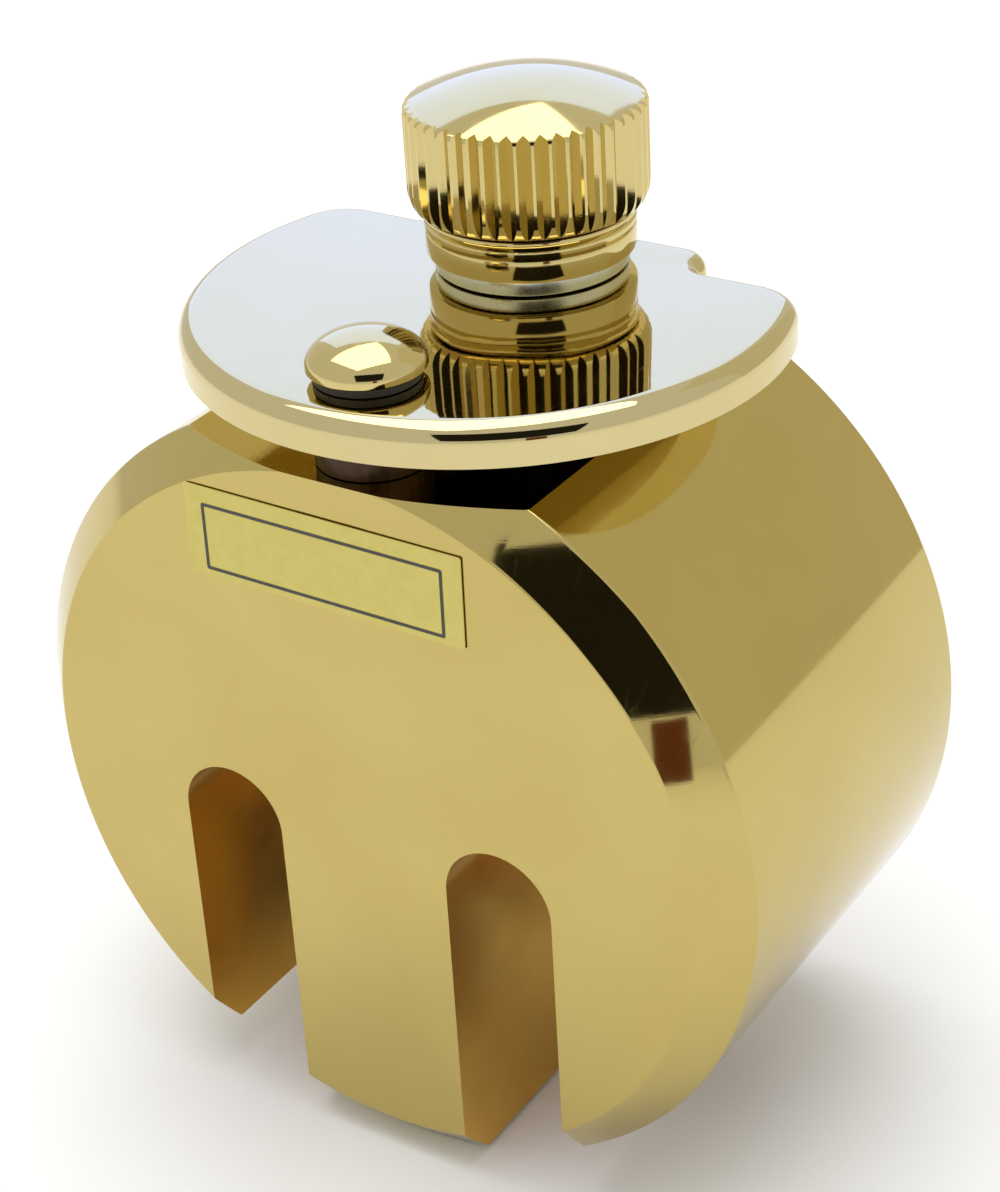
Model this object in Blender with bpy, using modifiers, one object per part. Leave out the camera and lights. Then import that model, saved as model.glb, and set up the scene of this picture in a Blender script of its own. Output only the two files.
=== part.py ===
"""Cello practice mute: a round brass block that sits over the two middle strings,
with a polished top plate held by a thumb knob on a threaded stud.

Frame: metres, +Z up, front face towards -Y, origin on the surface that the
block stands on, at the middle of the outline seen from above.
"""

import math

import bmesh
import bpy
from mathutils import Matrix, Vector

MM = 0.001

# Round block, axis along Y
BODY_RADIUS = 21.25
BODY_LENGTH = 26.0
RIM_RADIAL = 2.16  # chamfer of both rims, measured on the face
RIM_AXIAL = 2.03  # and along the axis
AXIS_Z = 20.95  # height of the block's axis above the foot flat
FRONT_Y = -12.43  # the front face
TOP_FLAT_Z = AXIS_Z + 18.87
BODY_STEPS = 96

# String notches, front to back and open below
NOTCH_X = 8.1
NOTCH_RADIUS = 3.05
NOTCH_CENTRE_Z = AXIS_Z - 2.55

# Bridge slot, side to side and open below
SLOT_Y = FRONT_Y + 13.0
SLOT_WIDTH = 6.8
SLOT_ROOF_Z = AXIS_Z - 11.3
PAD_THICK = 1.0
PAD_GAP = 0.1
PAD_EDGE = 0.4  # how far a pad stays back from the metal's edges

# Top plate
PLATE_BOTTOM_Z = AXIS_Z + 20.97
PLATE_TOP_Z = AXIS_Z + 23.06
PLATE_RADIUS = 15.42
PLATE_Y = FRONT_Y + 14.28
PLATE_CUT_Y = FRONT_Y + 21.2  # the straight rear edge
PLATE_CORNER = 3.0
TAB_HALF = 7.7
TAB_END_Y = FRONT_Y + 23.8
TAB_CORNER = 1.5
PLATE_EDGE_ROUND = 1.2

# Stud and thumb knob
KNOB_Y = FRONT_Y + 18.5
STUD_RADIUS = 2.5
STUD_BOTTOM_Z = AXIS_Z + 9.0
STUD_TOP_Z = AXIS_Z + 28.5
RUNNING_GAP = 0.08
WASHER_RADIUS = 4.94
WASHER_BOTTOM_Z = AXIS_Z + 23.13
WASHER_TOP_Z = AXIS_Z + 23.88
KNOB_BOTTOM_Z = AXIS_Z + 23.95
BAND_RADIUS = 5.34
BAND_TOP_Z = AXIS_Z + 25.17
HEAD_BOTTOM_Z = AXIS_Z + 26.32
HEAD_BOTTOM_RADIUS = 5.52
HEAD_RADIUS = 6.09
HEAD_SIDE_TOP_Z = AXIS_Z + 31.26
DOME_EDGE_RADIUS = 5.89
DOME_EDGE_Z = AXIS_Z + 31.58
DOME_HEIGHT = 1.36
GROOVES = 45
GROOVE_DEPTH = 0.45
GROOVE_HALF = 0.36
GROOVE_TURN = 0.0908  # angle of the first groove from +X

# Dome-head pin
PIN_X = 0.37
PIN_Y = FRONT_Y + 3.36
PIN_RADIUS = 1.5
PIN_BOTTOM_Z = AXIS_Z + 10.4
PIN_HEAD_RADIUS = 2.9
PIN_HEAD_Z = AXIS_Z + 23.6
PIN_HEAD_EDGE = 0.25
PIN_HEAD_TOP_Z = AXIS_Z + 25.35
CLEAR = 0.1

# Sticker on the front face
LABEL_CENTRE = (-0.73, AXIS_Z + 14.48)
LABEL_SIZE = (16.06, 4.9)
LABEL_TILT = math.radians(0.75)  # about +Y, right end down
LABEL_THICK = 0.1
LABEL_GAP = 0.05


for old in list(bpy.data.objects):
    bpy.data.objects.remove(old, do_unlink=True)

parts = bpy.data.collections.new("cello_practice_mute")
cutters = bpy.data.collections.new("cutters")
bpy.context.scene.collection.children.link(parts)
bpy.context.scene.collection.children.link(cutters)


def material(name, colour, roughness, metallic):
    made = bpy.data.materials.new(name)
    made.use_nodes = True
    shader = made.node_tree.nodes["Principled BSDF"]
    shader.inputs["Base Color"].default_value = (*colour, 1.0)
    shader.inputs["Roughness"].default_value = roughness
    shader.inputs["Metallic"].default_value = metallic
    made.diffuse_color = (*colour, 1.0)
    return made


GOLD = material("gold_plate", (0.80, 0.60, 0.25), 0.08, 1.0)
GOLD_PLATE = material("gold_plate_top", (0.84, 0.68, 0.36), 0.05, 1.0)
GOLD_KNOB = material("gold_knob", (0.82, 0.60, 0.24), 0.10, 1.0)
STEEL = material("steel", (0.55, 0.57, 0.52), 0.28, 1.0)
BLACK = material("black_washer", (0.02, 0.02, 0.02), 0.5, 0.0)
BRASS = material("brass", (0.62, 0.45, 0.18), 0.25, 1.0)
RUBBER = material("rubber", (0.03, 0.03, 0.03), 0.75, 0.0)
LABEL = material("label_film", (0.72, 0.62, 0.22), 0.35, 0.0)


def place(name, mesh, collection, location=(0, 0, 0), surface=None):
    """An object in its collection, with its location in millimetres."""
    obj = bpy.data.objects.new(name, mesh)
    obj.location = Vector(location) * MM
    collection.objects.link(obj)
    if surface:
        mesh.materials.append(surface)
    else:
        obj.hide_render = True
        obj.display_type = "WIRE"
    return obj


def smooth(obj, angle=32.0):
    obj.data.shade_smooth()
    obj.data.set_sharp_from_angle(angle=math.radians(angle))


def turned(name, profile, steps, collection, location=(0, 0, 0), surface=None, closed=False):
    """A turned piece: the profile (radius, z) runs down its outer side."""
    mesh = bpy.data.meshes.new(name)
    points = [(r * MM, 0.0, z * MM) for r, z in profile]
    edges = [(i, i + 1) for i in range(len(points) - 1)]
    if closed:
        edges.append((len(points) - 1, 0))
    mesh.from_pydata(points, edges, [])
    obj = place(name, mesh, collection, location, surface)
    screw = obj.modifiers.new("Turn", "SCREW")
    screw.axis = "Z"
    screw.angle = math.tau
    screw.steps = screw.render_steps = steps
    screw.use_merge_vertices = True
    screw.merge_threshold = 1e-6
    screw.use_smooth_shade = True
    return obj


def block(name, size, centre, collection, surface=None):
    mesh = bpy.data.meshes.new(name)
    shape = bmesh.new()
    bmesh.ops.create_cube(shape, size=1.0)
    bmesh.ops.scale(shape, vec=Vector(size) * MM, verts=shape.verts)
    shape.to_mesh(mesh)
    shape.free()
    return place(name, mesh, collection, centre, surface)


def rod(name, radius, bottom, top, xy, steps, collection, surface=None):
    profile = [(0, top), (radius, top), (radius, bottom), (0, bottom)]
    return turned(name, profile, steps, collection, (*xy, 0), surface)


def cut(obj, cutter, operation="DIFFERENCE"):
    boolean = obj.modifiers.new("Cut_" + cutter.name, "BOOLEAN")
    boolean.operation = operation
    boolean.solver = "EXACT"
    boolean.object = cutter


def arc(cx, cy, radius, start, end, count):
    """Points along an arc, angles in radians, both ends included."""
    return [
        (
            cx + radius * math.cos(start + (end - start) * i / count),
            cy + radius * math.sin(start + (end - start) * i / count),
        )
        for i in range(count + 1)
    ]


def outline_mesh(name, points, thickness):
    """A flat outline, extruded to both sides, as a welded mesh."""
    curve = bpy.data.curves.new(name, "CURVE")
    curve.dimensions = "2D"
    curve.fill_mode = "BOTH"
    curve.extrude = thickness * MM / 2
    spline = curve.splines.new("POLY")
    spline.points.add(len(points) - 1)
    for point, (x, y) in zip(spline.points, points):
        point.co = (x * MM, y * MM, 0.0, 1.0)
    spline.use_cyclic_u = True
    holder = bpy.data.objects.new(name, curve)
    bpy.context.scene.collection.objects.link(holder)
    graph = bpy.context.evaluated_depsgraph_get()
    mesh = bpy.data.meshes.new_from_object(holder.evaluated_get(graph))
    bpy.data.objects.remove(holder, do_unlink=True)
    bpy.data.curves.remove(curve)
    shape = bmesh.new()
    shape.from_mesh(mesh)
    bmesh.ops.remove_doubles(shape, verts=shape.verts, dist=1e-7)
    bmesh.ops.recalc_face_normals(shape, faces=shape.faces)
    shape.to_mesh(mesh)
    shape.free()
    return mesh


# ---------------------------------------------------------------- round block
half = BODY_LENGTH / 2
body = turned(
    "mute_body",
    [
        (0, half),
        (BODY_RADIUS - RIM_RADIAL, half),
        (BODY_RADIUS, half - RIM_AXIAL),
        (BODY_RADIUS, -half + RIM_AXIAL),
        (BODY_RADIUS - RIM_RADIAL, -half),
        (0, -half),
    ],
    BODY_STEPS,
    parts,
    (0, FRONT_Y + half, AXIS_Z),
    GOLD,
)
body.rotation_euler.x = math.pi / 2

cut(body, block("cut_top_flat", (60, 60, 20), (0, 0, TOP_FLAT_Z + 10), cutters))
cut(body, block("cut_foot_flat", (60, 60, 20), (0, 0, -10), cutters))
cut(
    body,
    block(
        "cut_bridge_slot",
        (60, SLOT_WIDTH, SLOT_ROOF_Z + 10),
        (0, SLOT_Y, SLOT_ROOF_Z / 2 - 5),
        cutters,
    ),
)
for side, sign in (("left", -1), ("right", 1)):
    outline = arc(0, 0, NOTCH_RADIUS, 0, math.pi, 20)
    outline += [(-NOTCH_RADIUS, -30), (NOTCH_RADIUS, -30)]
    notch = place(
        "cut_notch_" + side,
        outline_mesh("notch_" + side, outline, BODY_LENGTH + 10),
        cutters,
        (sign * NOTCH_X, FRONT_Y + half, NOTCH_CENTRE_Z),
    )
    notch.rotation_euler.x = math.pi / 2
    cut(body, notch)
cut(
    body,
    rod("cut_stud_bore", STUD_RADIUS + CLEAR, STUD_BOTTOM_Z - 0.4, TOP_FLAT_Z + 3, (0, KNOB_Y), 48, cutters),
)
cut(
    body,
    rod("cut_pin_bore", PIN_RADIUS + CLEAR, PIN_BOTTOM_Z - 0.4, TOP_FLAT_Z + 3, (PIN_X, PIN_Y), 36, cutters),
)

# ------------------------------------------------------------------ top plate
# Half outline on the +X side, from the front middle round to the rear middle.
cut_dy = PLATE_CUT_Y - PLATE_Y
corner_x = math.sqrt((PLATE_RADIUS - PLATE_CORNER) ** 2 - (cut_dy - PLATE_CORNER) ** 2)
corner_y = PLATE_CUT_Y - PLATE_CORNER
corner_angle = math.atan2(corner_y - PLATE_Y, corner_x)
right = arc(0, PLATE_Y, PLATE_RADIUS, -math.pi / 2, corner_angle, 46)
right += arc(corner_x, corner_y, PLATE_CORNER, corner_angle, math.pi / 2, 8)[1:]
right += [
    (x, y)
    for x, y in arc(TAB_HALF + 1.0, PLATE_CUT_Y + 1.0, 1.0, -math.pi / 2, -math.pi, 5)
]
right += arc(TAB_HALF - TAB_CORNER, TAB_END_Y - TAB_CORNER, TAB_CORNER, 0, math.pi / 2, 6)
outline = right + [(-x, y) for x, y in reversed(right) if abs(x) > 1e-6]
plate_mesh = outline_mesh(
    "weight_plate",
    [(x, y - KNOB_Y) for x, y in outline],
    PLATE_TOP_Z - PLATE_BOTTOM_Z,
)
shape = bmesh.new()
shape.from_mesh(plate_mesh)
top = (PLATE_TOP_Z - PLATE_BOTTOM_Z) / 2 * MM
caps = [f for f in shape.faces if all(v.co.z > top - 1e-7 for v in f.verts)]
bmesh.ops.dissolve_faces(shape, faces=caps)
rim = [
    e
    for e in shape.edges
    if all(v.co.z > top - 1e-7 for v in e.verts)
    and any(abs(f.normal.z) < 0.5 for f in e.link_faces)
]
bmesh.ops.bevel(
    shape,
    geom=rim,
    offset=PLATE_EDGE_ROUND * MM,
    segments=4,
    profile=0.5,
    affect="EDGES",
    clamp_overlap=True,
)
bmesh.ops.triangulate(shape, faces=[f for f in shape.faces if len(f.verts) > 4])
shape.to_mesh(plate_mesh)
shape.free()
plate = place(
    "weight_plate",
    plate_mesh,
    parts,
    (0, KNOB_Y, (PLATE_TOP_Z + PLATE_BOTTOM_Z) / 2),
    GOLD_PLATE,
)
cut(
    plate,
    rod("cut_plate_stud_hole", STUD_RADIUS + 0.25, PLATE_BOTTOM_Z - 1, PLATE_TOP_Z + 1, (0, KNOB_Y), 48, cutters),
)
cut(
    plate,
    rod("cut_plate_pin_hole", PIN_RADIUS + 0.15, PLATE_BOTTOM_Z - 1, PLATE_TOP_Z + 1, (PIN_X, PIN_Y), 36, cutters),
)

# ------------------------------------------------------- stud, washer and knob
chamfer = 0.5
stud = turned(
    "clamp_stud",
    [
        (0, STUD_TOP_Z),
        (STUD_RADIUS - chamfer, STUD_TOP_Z),
        (STUD_RADIUS, STUD_TOP_Z - chamfer),
        (STUD_RADIUS, STUD_BOTTOM_Z + chamfer),
        (STUD_RADIUS - chamfer, STUD_BOTTOM_Z),
        (0, STUD_BOTTOM_Z),
    ],
    48,
    parts,
    (0, KNOB_Y, 0),
    BRASS,
)

turn_axis = bpy.data.objects.new("knob_turn_axis", None)
turn_axis.location = Vector((0, KNOB_Y, WASHER_BOTTOM_Z)) * MM
parts.objects.link(turn_axis)

washer_half = (WASHER_TOP_Z - WASHER_BOTTOM_Z) / 2
washer = turned(
    "knob_washer",
    [
        (STUD_RADIUS + RUNNING_GAP, 2 * washer_half),
        (WASHER_RADIUS - 0.1, 2 * washer_half),
        (WASHER_RADIUS, 2 * washer_half - 0.1),
        (WASHER_RADIUS, 0.1),
        (WASHER_RADIUS - 0.1, 0),
        (STUD_RADIUS + RUNNING_GAP, 0),
    ],
    64,
    parts,
    (0, 0, 0),
    STEEL,
    closed=True,
)
washer.parent = turn_axis

# Knob profile in its own frame, z from the knob's bottom face
dome = [
    (
        DOME_EDGE_RADIUS * s,
        DOME_EDGE_Z + DOME_HEIGHT * (1 - s * s),
    )
    for s in [i / 9 for i in range(10)]
]
corner = [
    (HEAD_RADIUS - 0.07, HEAD_SIDE_TOP_Z + 0.17),
    (HEAD_RADIUS, HEAD_SIDE_TOP_Z),
]
underside = [
    (
        HEAD_BOTTOM_RADIUS + (HEAD_RADIUS - HEAD_BOTTOM_RADIUS) * math.sin(a),
        HEAD_BOTTOM_Z + 1.2 * (1 - math.cos(a)),
    )
    for a in [math.radians(d) for d in (90, 66, 44, 22, 0)]
]
bead = (HEAD_BOTTOM_Z - BAND_TOP_Z) / 2
collar = [
    (BAND_RADIUS - 0.25, HEAD_BOTTOM_Z),
    (BAND_RADIUS - 0.25, HEAD_BOTTOM_Z - 0.12),
    (BAND_RADIUS + 0.1, HEAD_BOTTOM_Z - 0.22),
    (BAND_RADIUS + 0.1, HEAD_BOTTOM_Z - bead + 0.12),
    (BAND_RADIUS - 0.2, HEAD_BOTTOM_Z - bead),
    (BAND_RADIUS + 0.02, BAND_TOP_Z + 0.42),
    (BAND_RADIUS + 0.02, BAND_TOP_Z + 0.16),
    (BAND_RADIUS - 0.18, BAND_TOP_Z + 0.06),
    (BAND_RADIUS, BAND_TOP_Z - 0.06),
]
bore = STUD_RADIUS + RUNNING_GAP
bottom = [
    (BAND_RADIUS, KNOB_BOTTOM_Z + 0.12),
    (BAND_RADIUS - 0.12, KNOB_BOTTOM_Z),
    (bore, KNOB_BOTTOM_Z),
    (bore, STUD_TOP_Z + 0.4),
    (0, STUD_TOP_Z + 1.2),
]
profile = dome + corner + underside + collar + bottom
knob = turned(
    "thumb_knob",
    [(r, z - WASHER_BOTTOM_Z) for r, z in profile],
    90,
    parts,
    (0, 0, 0),
    GOLD_KNOB,
)
knob.parent = turn_axis

# Grip grooves: square bars on edge, narrowed sideways, one at each groove
groove_mesh = bpy.data.meshes.new("cut_grip_grooves")
shape = bmesh.new()
groove_reach = 1.2  # half diagonal of a bar, from its inner edge outwards
for i in range(GROOVES):
    made = bmesh.ops.create_cone(
        shape,
        cap_ends=True,
        segments=4,
        radius1=groove_reach * MM,
        radius2=groove_reach * MM,
        depth=6.6 * MM,
    )
    squeeze = GROOVE_HALF / GROOVE_DEPTH
    bmesh.ops.scale(shape, vec=(1.0, squeeze, 1.0), verts=made["verts"])
    bmesh.ops.translate(
        shape,
        vec=Vector((HEAD_RADIUS - GROOVE_DEPTH + groove_reach, 0, 0)) * MM,
        verts=made["verts"],
    )
    bmesh.ops.rotate(
        shape,
        cent=(0, 0, 0),
        matrix=Matrix.Rotation(GROOVE_TURN + math.tau * i / GROOVES, 3, "Z"),
        verts=made["verts"],
    )
shape.to_mesh(groove_mesh)
shape.free()
grooves = place(
    "cut_grip_grooves",
    groove_mesh,
    cutters,
    (0, 0, HEAD_BOTTOM_Z - WASHER_BOTTOM_Z + 3.1),
)
grooves.parent = turn_axis
cut(knob, grooves)

# ------------------------------------------------- pin, its washer and sleeves
head_rise = PIN_HEAD_TOP_Z - PIN_HEAD_Z - PIN_HEAD_EDGE
head = [
    (
        PIN_HEAD_RADIUS * math.sin(a),
        PIN_HEAD_Z + PIN_HEAD_EDGE + head_rise * math.cos(a),
    )
    for a in [math.radians(90) * i / 8 for i in range(9)]
]
pin = turned(
    "guide_pin",
    head
    + [
        (PIN_HEAD_RADIUS, PIN_HEAD_Z),
        (PIN_RADIUS, PIN_HEAD_Z),
        (PIN_RADIUS, PIN_BOTTOM_Z + 0.3),
        (PIN_RADIUS - 0.3, PIN_BOTTOM_Z),
        (0, PIN_BOTTOM_Z),
    ],
    48,
    parts,
    (PIN_X, PIN_Y, 0),
    GOLD_KNOB,
)


def ring(name, inner, outer, bottom_z, top_z, xy, steps, surface):
    return turned(
        name,
        [(inner, top_z), (outer, top_z), (outer, bottom_z), (inner, bottom_z)],
        steps,
        parts,
        (*xy, 0),
        surface,
        closed=True,
    )


pin_at = (PIN_X, PIN_Y)
stud_at = (0, KNOB_Y)
ring("pin_washer", PIN_RADIUS + CLEAR, 2.6, PLATE_TOP_Z + 0.06, PIN_HEAD_Z - 0.06, pin_at, 36, BLACK)
ring("pin_spacer", PIN_RADIUS + CLEAR, 2.8, TOP_FLAT_Z + 0.06, PLATE_BOTTOM_Z - 0.06, pin_at, 36, BRASS)
ring("stud_spacer", STUD_RADIUS + CLEAR, 4.2, TOP_FLAT_Z + 0.06, PLATE_BOTTOM_Z - 0.06, stud_at, 48, BRASS)

# ------------------------------------------------------- pads in the bridge slot
pad_top = SLOT_ROOF_Z - PAD_THICK - 2 * PAD_GAP
middle_half = NOTCH_X - NOTCH_RADIUS - PAD_EDGE
outer_near = NOTCH_X + NOTCH_RADIUS + PAD_EDGE
outline_cutter = rod("cut_pad_outline", BODY_RADIUS - PAD_EDGE, -20, 20, (0, 0), 96, cutters)
outline_cutter.rotation_euler.x = math.pi / 2
outline_cutter.location = Vector((0, FRONT_Y + half, AXIS_Z)) * MM
pad_shift = SLOT_WIDTH / 2 - PAD_GAP - PAD_THICK / 2
for wall, toward in (("front", -1), ("rear", 1)):
    y = SLOT_Y + toward * pad_shift
    block(
        "slot_pad_%s_middle" % wall,
        (2 * middle_half, PAD_THICK, pad_top - 0.6),
        (0, y, (pad_top + 0.6) / 2),
        parts,
        RUBBER,
    )
    for side, sign in (("left", -1), ("right", 1)):
        wide = 18.0 - outer_near
        pad = block(
            "slot_pad_%s_%s" % (wall, side),
            (wide, PAD_THICK, 8.0),
            (sign * (outer_near + wide / 2), y, pad_top - 4.0),
            parts,
            RUBBER,
        )
        cut(pad, outline_cutter, "INTERSECT")
block(
    "slot_pad_roof",
    (2 * middle_half, SLOT_WIDTH - 2 * (PAD_THICK + PAD_GAP) - 0.2, PAD_THICK),
    (0, SLOT_Y, SLOT_ROOF_Z - PAD_GAP - PAD_THICK / 2),
    parts,
    RUBBER,
)

# ------------------------------------------------------------- blank sticker
label = block(
    "front_label",
    (LABEL_SIZE[0], LABEL_THICK, LABEL_SIZE[1]),
    (LABEL_CENTRE[0], FRONT_Y - LABEL_GAP - LABEL_THICK / 2, LABEL_CENTRE[1]),
    parts,
    LABEL,
)
label.rotation_euler.y = LABEL_TILT

for obj in parts.objects:
    if obj.type == "MESH":
        smooth(obj)
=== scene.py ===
"""Looks of the cello practice mute: mirror-polished gold plate, steel washer,
blank sticker, rubber-lined bridge slot, on a pale floor in soft studio light."""

import math

import bmesh
import bpy
from mathutils import Matrix, Vector


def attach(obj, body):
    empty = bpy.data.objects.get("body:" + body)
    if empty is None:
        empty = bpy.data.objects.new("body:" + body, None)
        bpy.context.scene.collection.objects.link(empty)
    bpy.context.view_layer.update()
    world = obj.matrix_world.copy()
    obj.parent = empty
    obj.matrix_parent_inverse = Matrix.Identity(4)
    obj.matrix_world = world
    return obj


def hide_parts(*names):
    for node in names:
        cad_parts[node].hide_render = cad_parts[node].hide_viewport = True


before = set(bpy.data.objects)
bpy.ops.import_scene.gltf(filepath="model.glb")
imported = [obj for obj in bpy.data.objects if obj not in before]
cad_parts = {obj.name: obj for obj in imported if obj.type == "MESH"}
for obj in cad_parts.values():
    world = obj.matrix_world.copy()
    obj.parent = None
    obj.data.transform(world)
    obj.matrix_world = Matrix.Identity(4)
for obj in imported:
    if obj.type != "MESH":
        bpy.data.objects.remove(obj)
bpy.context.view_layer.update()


MM = 0.001
AXIS_Z = 20.95
FRONT_Y = -12.43
KNOB_Y = FRONT_Y + 18.5
WASHER_Z = AXIS_Z + 23.13

# --------------------------------------------------------------- node helpers


def tree_of(name):
    mat = bpy.data.materials.new(name)
    mat.use_nodes = True
    tree = mat.node_tree
    return mat, tree, tree.nodes["Principled BSDF"]


def node(tree, kind, **values):
    made = tree.nodes.new(kind)
    for key, value in values.items():
        if key in made.inputs:
            made.inputs[key].default_value = value
        else:
            setattr(made, key, value)
    return made


def noise(tree, coords, scale, detail=4.0, rough=0.55, stretch=(1, 1, 1), distortion=0.0):
    mapping = node(tree, "ShaderNodeMapping")
    mapping.inputs["Scale"].default_value = stretch
    tree.links.new(coords, mapping.inputs["Vector"])
    made = node(tree, "ShaderNodeTexNoise")
    made.inputs["Scale"].default_value = scale
    made.inputs["Detail"].default_value = detail
    made.inputs["Roughness"].default_value = rough
    made.inputs["Distortion"].default_value = distortion
    tree.links.new(mapping.outputs["Vector"], made.inputs["Vector"])
    return made.outputs["Fac"]


def span(tree, value, low, high, to_low, to_high):
    made = node(tree, "ShaderNodeMapRange")
    made.inputs["From Min"].default_value = low
    made.inputs["From Max"].default_value = high
    made.inputs["To Min"].default_value = to_low
    made.inputs["To Max"].default_value = to_high
    tree.links.new(value, made.inputs["Value"])
    return made.outputs["Result"]


def math_node(tree, operation, a, b):
    made = node(tree, "ShaderNodeMath", operation=operation)
    for socket, value in zip(made.inputs, (a, b)):
        if isinstance(value, (int, float)):
            socket.default_value = value
        else:
            tree.links.new(value, socket)
    return made.outputs[0]


def mix_colour(tree, factor, a, b):
    made = node(tree, "ShaderNodeMix", data_type="RGBA")
    tree.links.new(factor, made.inputs[0])
    for socket, value in zip((made.inputs[6], made.inputs[7]), (a, b)):
        if isinstance(value, tuple):
            socket.default_value = (*value, 1.0)
        else:
            tree.links.new(value, socket)
    return made.outputs[2]


def gold(name, colour, deep, rough=0.06, rough_spread=0.05, scratch=0.35, bump=0.02):
    """Polished gold plate: a slow change of tone, fine polishing lines, a few
    hairline scratches, and haze in patches."""
    mat, tree, shader = tree_of(name)
    coords = node(tree, "ShaderNodeTexCoord").outputs["Object"]
    slow = noise(tree, coords, 90.0, 3.0)
    haze = noise(tree, coords, 420.0, 5.0)
    lines = noise(tree, coords, 900.0, 2.0, stretch=(1.0, 1.0, 14.0), distortion=0.3)
    hair = noise(tree, coords, 260.0, 2.0, stretch=(9.0, 1.0, 2.2), distortion=1.2)
    fine = noise(tree, coords, 2600.0, 2.0)
    tone = mix_colour(tree, span(tree, slow, 0.35, 0.7, 0.0, 1.0), colour, deep)
    tree.links.new(tone, shader.inputs["Base Color"])
    shader.inputs["Metallic"].default_value = 1.0
    spread = span(tree, haze, 0.35, 0.75, rough, rough + rough_spread)
    hairs = span(tree, hair, 0.665, 0.69, 0.0, scratch * 0.12)
    tree.links.new(math_node(tree, "ADD", spread, hairs), shader.inputs["Roughness"])
    height = math_node(tree, "ADD", math_node(tree, "MULTIPLY", lines, 0.6), math_node(tree, "MULTIPLY", fine, 0.4))
    bumps = node(tree, "ShaderNodeBump")
    bumps.inputs["Strength"].default_value = bump
    bumps.inputs["Distance"].default_value = 0.00004
    tree.links.new(height, bumps.inputs["Height"])
    tree.links.new(bumps.outputs["Normal"], shader.inputs["Normal"])
    return mat


def plain(name, colour, deep, rough, metallic=0.0, scale=500.0, bump=0.15, stretch=(1, 1, 1)):
    mat, tree, shader = tree_of(name)
    coords = node(tree, "ShaderNodeTexCoord").outputs["Object"]
    slow = noise(tree, coords, scale * 0.3, 3.0)
    fine = noise(tree, coords, scale * 3.0, 4.0, stretch=stretch)
    tone = mix_colour(tree, span(tree, slow, 0.3, 0.7, 0.0, 1.0), colour, deep)
    tree.links.new(tone, shader.inputs["Base Color"])
    shader.inputs["Metallic"].default_value = metallic
    tree.links.new(span(tree, fine, 0.3, 0.7, rough * 0.8, rough * 1.2), shader.inputs["Roughness"])
    bumps = node(tree, "ShaderNodeBump")
    bumps.inputs["Strength"].default_value = bump
    bumps.inputs["Distance"].default_value = 0.00003
    tree.links.new(fine, bumps.inputs["Height"])
    tree.links.new(bumps.outputs["Normal"], shader.inputs["Normal"])
    return mat


# All three golds are one plating darkened as painted shade for the dim floor they mirror; the body copy is the
# darkest, and the plate copy is paler as a painted highlight for its washed-out bright top.
GOLD_BODY_SHADED = gold("gold_plate", (0.54, 0.43, 0.148), (0.505, 0.395, 0.130), rough=0.045, rough_spread=0.045)
GOLD_PLATE_PAINTED_HIGHLIGHT = gold("gold_plate_top", (0.62, 0.52, 0.26), (0.60, 0.50, 0.235), rough=0.025, rough_spread=0.03)
GOLD_KNOB = gold("gold_knob", (0.62, 0.51, 0.22), (0.59, 0.47, 0.185), rough=0.045, rough_spread=0.06)
# Deep orange gold for the notch and slot walls: painted reflection, the gold-on-gold tint of light bouncing inside
# these recesses.
NOTCH_BOUNCE_TINT = gold("gold_notch", (0.78, 0.48, 0.085), (0.66, 0.39, 0.06), rough=0.28, rough_spread=0.12, bump=0.25)
STEEL = plain("steel_washer", (0.74, 0.76, 0.68), (0.64, 0.66, 0.58), 0.28, 1.0, bump=0.2)
BRASS = plain("brass_inner", (0.52, 0.38, 0.15), (0.45, 0.31, 0.11), 0.25, 1.0, bump=0.2)
# Dark brown for the spacers in the narrow gap under the plate: painted shade, the dim gold-tinted gloom of that gap.
DARK_SHADE_SLEEVE = plain("dark_sleeve", (0.07, 0.035, 0.012), (0.045, 0.022, 0.008), 0.35, 0.6, bump=0.2)
BLACK = plain("black_fibre", (0.02, 0.018, 0.015), (0.035, 0.03, 0.025), 0.5, bump=0.3)
RUBBER = plain("rubber_pad", (0.025, 0.025, 0.026), (0.045, 0.044, 0.043), 0.7, bump=0.5)

# --------------------------------------------------------------- mesh helpers


def link(obj):
    bpy.context.scene.collection.objects.link(obj)
    return obj


def realise(obj):
    """Apply the modifiers of an object, and put its place in its mesh."""
    graph = bpy.context.evaluated_depsgraph_get()
    graph.update()
    mesh = bpy.data.meshes.new_from_object(obj.evaluated_get(graph))
    mesh.transform(obj.matrix_world)
    name = obj.name
    bpy.data.objects.remove(obj, do_unlink=True)
    mesh.name = name
    return link(bpy.data.objects.new(name, mesh))


def turned(name, profile, steps, location=(0, 0, 0), closed=False):
    mesh = bpy.data.meshes.new(name)
    points = [(r * MM, 0.0, z * MM) for r, z in profile]
    edges = [(i, i + 1) for i in range(len(points) - 1)]
    if closed:
        edges.append((len(points) - 1, 0))
    mesh.from_pydata(points, edges, [])
    obj = link(bpy.data.objects.new(name, mesh))
    obj.location = Vector(location) * MM
    screw = obj.modifiers.new("Turn", "SCREW")
    screw.axis = "Z"
    screw.angle = math.tau
    screw.steps = screw.render_steps = steps
    screw.use_merge_vertices = True
    screw.merge_threshold = 1e-7
    return obj


def block(name, size, centre):
    mesh = bpy.data.meshes.new(name)
    shape = bmesh.new()
    bmesh.ops.create_cube(shape, size=1.0)
    bmesh.ops.scale(shape, vec=Vector(size) * MM, verts=shape.verts)
    shape.to_mesh(mesh)
    shape.free()
    obj = link(bpy.data.objects.new(name, mesh))
    obj.location = Vector(centre) * MM
    return obj


def arc(cx, cy, radius, start, end, count):
    return [
        (
            cx + radius * math.cos(start + (end - start) * i / count),
            cy + radius * math.sin(start + (end - start) * i / count),
        )
        for i in range(count + 1)
    ]


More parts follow.
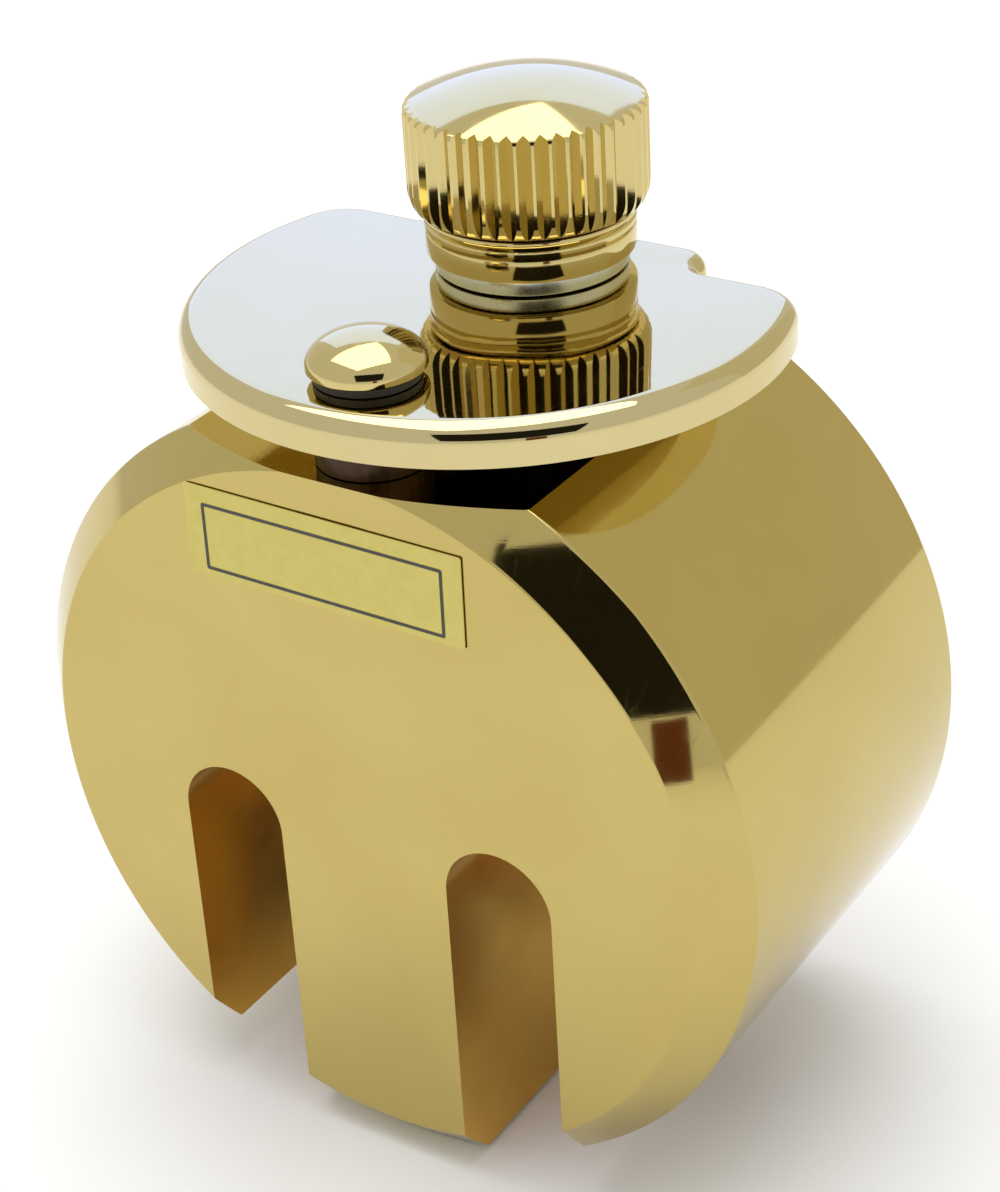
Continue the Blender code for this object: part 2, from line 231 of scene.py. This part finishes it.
def outline_mesh(name, points, thickness):
    curve = bpy.data.curves.new(name, "CURVE")
    curve.dimensions = "2D"
    curve.fill_mode = "BOTH"
    curve.extrude = thickness * MM / 2
    spline = curve.splines.new("POLY")
    spline.points.add(len(points) - 1)
    for point, (x, y) in zip(spline.points, points):
        point.co = (x * MM, y * MM, 0.0, 1.0)
    spline.use_cyclic_u = True
    holder = link(bpy.data.objects.new(name, curve))
    graph = bpy.context.evaluated_depsgraph_get()
    mesh = bpy.data.meshes.new_from_object(holder.evaluated_get(graph))
    bpy.data.objects.remove(holder, do_unlink=True)
    bpy.data.curves.remove(curve)
    shape = bmesh.new()
    shape.from_mesh(mesh)
    bmesh.ops.remove_doubles(shape, verts=shape.verts, dist=1e-7)
    bmesh.ops.recalc_face_normals(shape, faces=shape.faces)
    shape.to_mesh(mesh)
    shape.free()
    return mesh


def cut(obj, cutters):
    for cutter in cutters:
        boolean = obj.modifiers.new("Cut", "BOOLEAN")
        boolean.operation = "DIFFERENCE"
        boolean.solver = "EXACT"
        boolean.object = cutter
    bpy.context.view_layer.update()
    made = realise(obj)
    for cutter in cutters:
        bpy.data.objects.remove(cutter, do_unlink=True)
    return made


def finish(obj, surface, body, nodes, angle):
    obj.data.materials.clear()
    obj.data.materials.append(surface)
    obj.data.shade_smooth()
    obj.data.set_sharp_from_angle(angle=math.radians(angle))
    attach(obj, body)
    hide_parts(*nodes)
    return obj


# ----------------------------------------------------------------- round block
R, HALF = 21.25, 13.0
RAD, AXI = 2.16, 2.03


def rounded(points, radius, count=4):
    """A profile with its inner corners rounded."""
    out = [points[0]]
    for a, b, c in zip(points, points[1:], points[2:]):
        va, vc = Vector(a) - Vector(b), Vector(c) - Vector(b)
        if va.length < 1e-9 or vc.length < 1e-9:
            continue
        va.normalize()
        vc.normalize()
        half = math.acos(max(-1, min(1, va.dot(vc)))) / 2
        back = radius / math.tan(half)
        start, end = Vector(b) + va * back, Vector(b) + vc * back
        for i in range(count + 1):
            t = i / count
            p = start * (1 - t) ** 2 + Vector(b) * 2 * t * (1 - t) + end * t * t
            out.append(tuple(p))
    out.append(points[-1])
    return out


profile = rounded(
    [(0, HALF), (R - RAD, HALF), (R, HALF - AXI), (R, -HALF + AXI), (R - RAD, -HALF), (0, -HALF)],
    0.3,
)
body = turned("body_shell", profile, 256, (0, FRONT_Y + HALF, AXIS_Z))
body.rotation_euler.x = math.pi / 2
cutters = [
    block("c_top", (60, 60, 20), (0, 0, AXIS_Z + 18.87 + 10)),
    block("c_foot", (60, 60, 20), (0, 0, -10)),
    block("c_slot", (60, 6.8, 9.65 + 10), (0, FRONT_Y + 13.0, 9.65 / 2 - 5)),
]
for sign in (-1, 1):
    outline = arc(0, 0, 3.05, 0, math.pi, 40) + [(-3.05, -30), (3.05, -30)]
    notch = link(bpy.data.objects.new("c_notch", outline_mesh("c_notch", outline, 40)))
    notch.location = Vector((sign * 8.1, FRONT_Y + HALF, AXIS_Z - 2.55)) * MM
    notch.rotation_euler.x = math.pi / 2
    cutters.append(notch)
cutters.append(turned("c_stud", [(0, 60), (2.6, 60), (2.6, 29.55), (0, 29.55)], 64, (0, KNOB_Y, 0)))
cutters.append(turned("c_pin", [(0, 60), (1.6, 60), (1.6, 30.95), (0, 30.95)], 64, (0.37, FRONT_Y + 3.36, 0)))
body = cut(body, cutters)
body = finish(body, GOLD_BODY_SHADED, "mute", ["mute_body"], 12.0)
# Faces inside the notches and on the slot walls take the painted bounce-tint gold.
body.data.materials.append(NOTCH_BOUNCE_TINT)
for face in body.data.polygons:
    c = face.center / MM
    n = face.normal
    inside = abs(n.y) < 0.5 and c.z < 21.6 and abs(math.hypot(c.x, c.z - AXIS_Z) - R) > 0.6 and c.z > 0.2
    wall = abs(n.y) > 0.9 and abs(c.y - (FRONT_Y + 13.0)) < 4.0
    if (inside and math.hypot(c.x, c.z - AXIS_Z) < R - 0.4 and abs(n.y) < 0.05) or wall:
        face.material_index = 1

# ------------------------------------------------------------------- top plate
PR, PY = 15.42, FRONT_Y + 14.28
CUT_Y, CORNER, TAB, TAB_Y, TAB_R = FRONT_Y + 21.2, 3.0, 7.7, FRONT_Y + 23.8, 1.5
P_BOT, P_TOP = AXIS_Z + 20.97, AXIS_Z + 23.06
cx = math.sqrt((PR - CORNER) ** 2 - (CUT_Y - PY - CORNER) ** 2)
cy = CUT_Y - CORNER
ca = math.atan2(cy - PY, cx)
right = arc(0, PY, PR, -math.pi / 2, ca, 120)
right += arc(cx, cy, CORNER, ca, math.pi / 2, 20)[1:]
right += arc(TAB + 1.0, CUT_Y + 1.0, 1.0, -math.pi / 2, -math.pi, 10)
right += arc(TAB - TAB_R, TAB_Y - TAB_R, TAB_R, 0, math.pi / 2, 12)
outline = right + [(-x, y) for x, y in reversed(right) if abs(x) > 1e-6]
mesh = outline_mesh("plate", outline, P_TOP - P_BOT)
shape = bmesh.new()
shape.from_mesh(mesh)
top = (P_TOP - P_BOT) / 2 * MM
caps = [f for f in shape.faces if all(v.co.z > top - 1e-7 for v in f.verts)]
bmesh.ops.dissolve_faces(shape, faces=caps)
rim = [
    e
    for e in shape.edges
    if all(v.co.z > top - 1e-7 for v in e.verts) and any(abs(f.normal.z) < 0.5 for f in e.link_faces)
]
bmesh.ops.bevel(shape, geom=rim, offset=1.2 * MM, segments=12, profile=0.5, affect="EDGES", clamp_overlap=True)
low = [f for f in shape.faces if all(v.co.z < -top + 1e-7 for v in f.verts)]
bmesh.ops.dissolve_faces(shape, faces=low)
shape.to_mesh(mesh)
shape.free()
plate = link(bpy.data.objects.new("plate_polished", mesh))
plate.location.z = (P_TOP + P_BOT) / 2 * MM
cutters = [
    turned("c_ps", [(0, 50), (2.75, 50), (2.75, 40), (0, 40)], 64, (0, KNOB_Y, 0)),
    turned("c_pp", [(0, 50), (1.65, 50), (1.65, 40), (0, 40)], 64, (0.37, FRONT_Y + 3.36, 0)),
]
plate = cut(plate, cutters)
finish(plate, GOLD_PLATE_PAINTED_HIGHLIGHT, "mute", ["weight_plate"], 20.0)

# --------------------------------------------------------- washer, knob and pin
W0, W1 = AXIS_Z + 23.13, AXIS_Z + 23.88
washer = turned(
    "washer_steel",
    [(2.58, W1), (4.84, W1), (4.92, W1 - 0.04), (4.94, W1 - 0.12), (4.94, W0 + 0.12), (4.92, W0 + 0.04), (4.84, W0), (2.58, W0)],
    128,
    (0, KNOB_Y, 0),
    closed=True,
)
finish(realise(washer), STEEL, "washer", ["knob_washer"], 30.0)

dome = [(5.89 * s, AXIS_Z + 31.58 + 1.36 * (1 - s * s)) for s in [i / 28 for i in range(29)]]
corner = [(5.98, AXIS_Z + 31.53), (6.05, AXIS_Z + 31.43), (6.09, AXIS_Z + 31.26)]
HB, BT, KB = AXIS_Z + 26.32, AXIS_Z + 25.17, AXIS_Z + 23.95
under = [
    (5.52 + 0.57 * math.sin(math.radians(d)), HB + 1.2 * (1 - math.cos(math.radians(d))))
    for d in range(90, -1, -6)
]
bead = (HB - BT) / 2
collar = [
    (5.09, HB), (5.09, HB - 0.12), (5.30, HB - 0.14), (5.41, HB - 0.20), (5.44, HB - 0.28),
    (5.44, HB - bead + 0.20), (5.40, HB - bead + 0.13), (5.14, HB - bead),
    (5.30, BT + 0.46), (5.35, BT + 0.40), (5.36, BT + 0.34), (5.36, BT + 0.18),
    (5.16, BT + 0.06), (5.32, BT - 0.03), (5.34, BT - 0.08),
]
bottom = [(5.34, KB + 0.12), (5.30, KB + 0.03), (5.22, KB), (2.58, KB), (2.58, AXIS_Z + 28.9), (0, AXIS_Z + 29.7)]
knob = turned("knob_shell", dome + corner + under + collar + bottom, 360, (0, KNOB_Y, 0))
shape = bmesh.new()
DEPTH, HALF_W, REACH = 0.45, 0.36, 1.2
for i in range(45):
    made = bmesh.ops.create_cone(shape, cap_ends=True, segments=4, radius1=REACH * MM, radius2=REACH * MM, depth=6.6 * MM)
    bmesh.ops.scale(shape, vec=(1.0, HALF_W / DEPTH, 1.0), verts=made["verts"])
    bmesh.ops.translate(shape, vec=Vector((6.09 - DEPTH + REACH, 0, 0)) * MM, verts=made["verts"])
    bmesh.ops.rotate(shape, cent=(0, 0, 0), matrix=Matrix.Rotation(0.0908 + math.tau * i / 45, 3, "Z"), verts=made["verts"])
groove_mesh = bpy.data.meshes.new("c_grooves")
shape.to_mesh(groove_mesh)
shape.free()
grooves = link(bpy.data.objects.new("c_grooves", groove_mesh))
grooves.location = Vector((0, KNOB_Y, HB + 3.1)) * MM
knob = cut(knob, [grooves])
finish(knob, GOLD_KNOB, "knob", ["thumb_knob"], 28.0)

PZ = AXIS_Z + 23.6
rise = 25.35 - 23.6 - 0.25
head = [(2.9 * math.sin(math.pi / 2 * i / 24), PZ + 0.25 + rise * math.cos(math.pi / 2 * i / 24)) for i in range(25)]
pin = turned(
    "pin_dome",
    head + [(2.9, PZ + 0.06), (2.86, PZ + 0.01), (2.8, PZ), (1.5, PZ), (1.5, AXIS_Z + 10.7), (1.2, AXIS_Z + 10.4), (0, AXIS_Z + 10.4)],
    96,
    (0.37, FRONT_Y + 3.36, 0),
)
finish(realise(pin), GOLD_KNOB, "mute", ["guide_pin"], 35.0)

# -------------------------------------------------------------- blank sticker
mat, tree, shader = tree_of("label_film")
coords = node(tree, "ShaderNodeTexCoord").outputs["Object"]
fibre = noise(tree, coords, 1800.0, 4.0)
tone = mix_colour(tree, span(tree, fibre, 0.3, 0.7, 0.0, 1.0), (0.60, 0.51, 0.13), (0.565, 0.475, 0.11))
tree.links.new(tone, shader.inputs["Base Color"])
shader.inputs["Metallic"].default_value = 0.35
tree.links.new(span(tree, fibre, 0.3, 0.7, 0.26, 0.36), shader.inputs["Roughness"])
LABEL = mat
INK = plain("label_ink", (0.03, 0.028, 0.02), (0.045, 0.04, 0.03), 0.4, bump=0.1)

tilt = Matrix.Rotation(math.radians(0.75), 4, "Y")
centre = Matrix.Translation(Vector((-0.73, FRONT_Y - 0.06, AXIS_Z + 14.48)) * MM)


def sheet(name, width, height, depth, surface, offset=(0, 0, 0), hole=None):
    """A thin rectangle with rounded corners, or a rectangular frame."""

    def ring_points(w, h, r):
        out = []
        for sx, sz, a in ((1, 1, 0), (-1, 1, 90), (-1, -1, 180), (1, -1, 270)):
            for i in range(5):
                t = math.radians(a + 22.5 * i)
                out.append((sx * (w / 2 - r) + r * math.cos(t), sz * (h / 2 - r) + r * math.sin(t)))
        return out

    shape = bmesh.new()
    outer = ring_points(width, height, 0.12)
    layers = []
    for y in (0.0, -depth):
        layers.append([shape.verts.new((x * MM, y * MM, z * MM)) for x, z in outer])
    count = len(outer)
    if hole:
        inner = ring_points(hole[0], hole[1], 0.05)
        inners = [[shape.verts.new((x * MM, y * MM, z * MM)) for x, z in inner] for y in (0.0, -depth)]
    for i in range(count):
        j = (i + 1) % count
        shape.faces.new((layers[0][i], layers[0][j], layers[1][j], layers[1][i]))
        if hole:
            shape.faces.new((inners[0][i], inners[1][i], inners[1][j], inners[0][j]))
            shape.faces.new((layers[1][i], layers[1][j], inners[1][j], inners[1][i]))
            shape.faces.new((layers[0][j], layers[0][i], inners[0][i], inners[0][j]))
    if not hole:
        shape.faces.new(layers[1])
        shape.faces.new(list(reversed(layers[0])))
    bmesh.ops.recalc_face_normals(shape, faces=shape.faces)
    mesh = bpy.data.meshes.new(name)
    shape.to_mesh(mesh)
    shape.free()
    mesh.transform(centre @ tilt @ Matrix.Translation(Vector(offset) * MM))
    obj = link(bpy.data.objects.new(name, mesh))
    mesh.materials.append(surface)
    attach(obj, "mute")
    return obj


film = sheet("sticker_film", 16.06, 4.9, 0.06, LABEL)
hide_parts("front_label")
border = sheet("sticker_border", 13.97, 3.66, 0.012, INK, offset=(-0.02, -0.065, -0.28), hole=(13.63, 3.32))

# -------------------------------------------------------------- carried nodes
for name, surface in {
    "clamp_stud": BRASS,
    "pin_washer": BLACK,
    # The spacers under the plate take the painted-shade dark brown.
    "pin_spacer": DARK_SHADE_SLEEVE,
    "stud_spacer": DARK_SHADE_SLEEVE,
    "slot_pad_front_left": RUBBER,
    "slot_pad_front_middle": RUBBER,
    "slot_pad_front_right": RUBBER,
    "slot_pad_rear_left": RUBBER,
    "slot_pad_rear_middle": RUBBER,
    "slot_pad_rear_right": RUBBER,
    "slot_pad_roof": RUBBER,
}.items():
    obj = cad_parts[name]
    obj = obj if hasattr(obj, "material_slots") else bpy.data.objects[name]
    if not obj.material_slots:
        obj.data.materials.append(surface)
    for slot in obj.material_slots:
        slot.material = surface

# ------------------------------------------------------------ floor and lights


def card(name, centre, normal, width, height, colour, strength):
    """A flat card that shows only in reflections."""
    mesh = bpy.data.meshes.new(name)
    shape = bmesh.new()
    bmesh.ops.create_grid(shape, x_segments=1, y_segments=1, size=0.5)
    bmesh.ops.scale(shape, vec=(width, height, 1.0), verts=shape.verts)
    shape.to_mesh(mesh)
    shape.free()
    obj = link(bpy.data.objects.new(name, mesh))
    obj.location = centre
    obj.rotation_euler = Vector(normal).to_track_quat("Z", "Y").to_euler()
    mat = bpy.data.materials.new(name)
    mat.use_nodes = True
    tree = mat.node_tree
    tree.nodes.remove(tree.nodes["Principled BSDF"])
    glow = tree.nodes.new("ShaderNodeEmission")
    glow.inputs["Color"].default_value = (*colour, 1.0)
    glow.inputs["Strength"].default_value = strength
    tree.links.new(glow.outputs[0], tree.nodes["Material Output"].inputs["Surface"])
    mesh.materials.append(mat)
    obj.visible_camera = obj.visible_diffuse = obj.visible_shadow = False
    obj.visible_transmission = obj.visible_volume_scatter = False
    return obj


floor_mesh = bpy.data.meshes.new("floor")
shape = bmesh.new()
bmesh.ops.create_grid(shape, x_segments=1, y_segments=1, size=1.5)
shape.to_mesh(floor_mesh)
shape.free()
floor = link(bpy.data.objects.new("floor", floor_mesh))
floor.location.z = -0.00005
mat, tree, shader = tree_of("floor_white")
coords = node(tree, "ShaderNodeTexCoord").outputs["Object"]
tone = mix_colour(tree, span(tree, noise(tree, coords, 12.0, 3.0), 0.3, 0.7, 0.0, 1.0), (0.90, 0.90, 0.90), (0.93, 0.93, 0.92))
tree.links.new(tone, shader.inputs["Base Color"])
shader.inputs["Roughness"].default_value = 0.9
shader.inputs["Specular IOR Level"].default_value = 0.1
floor_mesh.materials.append(mat)

toward_camera = Vector((0.48764, -0.71858, 0.49583))
card("dark_room", toward_camera * 0.45 + Vector((0.05, 0.0, 0.02)), -toward_camera, 0.42, 0.30, (0.02, 0.018, 0.015), 1.0)
wall_at = Vector((math.cos(math.radians(62)), math.sin(math.radians(62)), 0.0))
card("wall_back", wall_at * 0.34 + Vector((0, 0, 0.25)), -wall_at, 0.30, 0.5, (0.90, 0.86, 0.72), 0.82)
red = Vector((0.74, -0.68, 0.0))
card("warm_block", red * 0.40 + Vector((0, 0, 0.035)), -red, 0.05, 0.11, (0.30, 0.10, 0.05), 0.5)
card("window_left", Vector((-0.45, 0.66, 0.46)), Vector((0.45, -0.66, -0.46)), 0.75, 0.65, (0.46, 0.56, 1.0), 2.5)

world = bpy.data.worlds.new("studio")
bpy.context.scene.world = world
world.use_nodes = True
background = world.node_tree.nodes["Background"]
background.inputs["Color"].default_value = (0.98, 0.985, 1.0, 1.0)
background.inputs["Strength"].default_value = 0.80


def area(name, location, target, size, power, colour=(1, 1, 1)):
    data = bpy.data.lights.new(name, "AREA")
    data.shape = "RECTANGLE"
    data.size, data.size_y = size
    data.energy = power
    data.color = colour
    obj = link(bpy.data.objects.new(name, data))
    obj.location = location
    obj.rotation_euler = (Vector(target) - Vector(location)).to_track_quat("-Z", "Y").to_euler()
    return obj


area("key_top", (-0.10, 0.05, 0.75), (0, 0, 0), (0.7, 0.7), 3.6)

# ---------------------------------------------------------------------- camera
data = bpy.data.cameras.new("camera")
data.sensor_fit = "HORIZONTAL"
data.sensor_width = 36.0
data.lens = 96.11
data.clip_start = 0.01
data.clip_end = 10.0
camera = link(bpy.data.objects.new("camera", data))
camera.matrix_world = Matrix(
    (
        (0.84272, -0.22809, 0.48764, 0.068344),
        (0.53580, 0.44334, -0.71858, -0.099411),
        (-0.05229, 0.86685, 0.49583, 0.096290),
        (0.0, 0.0, 0.0, 1.0),
    )
)
bpy.context.scene.camera = camera
bpy.context.scene.view_settings.view_transform = "Standard"
bpy.context.scene.view_settings.look = "None"
